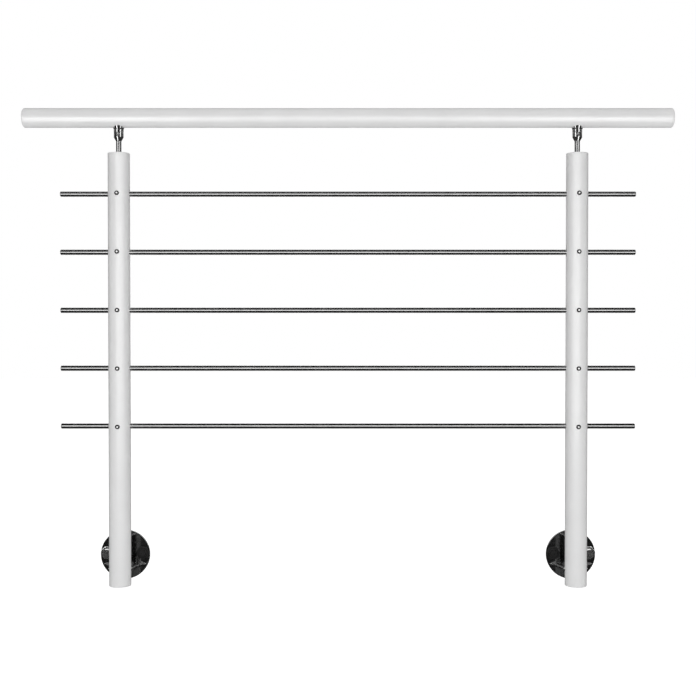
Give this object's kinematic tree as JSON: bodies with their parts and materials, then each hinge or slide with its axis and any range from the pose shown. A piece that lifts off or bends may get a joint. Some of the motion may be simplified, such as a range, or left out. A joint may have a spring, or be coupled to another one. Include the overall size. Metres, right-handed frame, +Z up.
{
  "type": "side-mounted deck railing section",
  "caption": "Round handrail on two round posts with slim horizontal rods between, swivel brackets under the rail and round wall flanges on side arms at the feet.",
  "frame": {"origin": "centre of the left flange's back face, where it meets the wall", "axes": "+X along the handrail towards the right post, +Y into the wall, +Z up"},
  "size_m": [1.485, 0.1303, 1.096],
  "materials": {
    "white_coat": "satin",
    "polished_rod": "polished",
    "polished_bracket": "polished",
    "screw_steel": "polished",
    "black_gloss": "gloss",
    "bolt_steel": "polished",
    "dark_bolt": "gloss"
  },
  "bodies": {
    "root": {"handrail_tube": "white_coat", "handrail_end_cap_left": "white_coat", "handrail_end_cap_right": "white_coat", "post_tube_left": "white_coat", "post_tube_right": "white_coat", "post_top_cap_left": "white_coat", "post_top_cap_right": "white_coat", "post_bottom_cap_left": "white_coat", "post_bottom_cap_right": "white_coat", "rod_1": "polished_rod", "rod_2": "polished_rod", "rod_3": "polished_rod", "rod_4": "polished_rod", "rod_5": "polished_rod", "swivel_fork_left": "polished_bracket", "swivel_fork_right": "polished_bracket", "handrail_saddle_left": "polished_bracket", "handrail_saddle_right": "polished_bracket", "swivel_screw_left": "screw_steel", "swivel_screw_right": "screw_steel", "rod_screws_left": "screw_steel", "rod_screws_right": "screw_steel", "arm_screws_left": "screw_steel", "arm_screws_right": "screw_steel", "wall_flange_left": "black_gloss", "wall_flange_right": "black_gloss", "side_arm_left": "black_gloss", "side_arm_right": "black_gloss", "flange_washer_left_outer": "bolt_steel", "flange_washer_right_outer": "bolt_steel", "flange_bolt_left_outer": "bolt_steel", "flange_bolt_right_outer": "bolt_steel", "flange_washer_left_inner": "dark_bolt", "flange_washer_right_inner": "dark_bolt", "flange_bolt_left_inner": "dark_bolt", "flange_bolt_right_inner": "dark_bolt"}
  },
  "joints": []
}
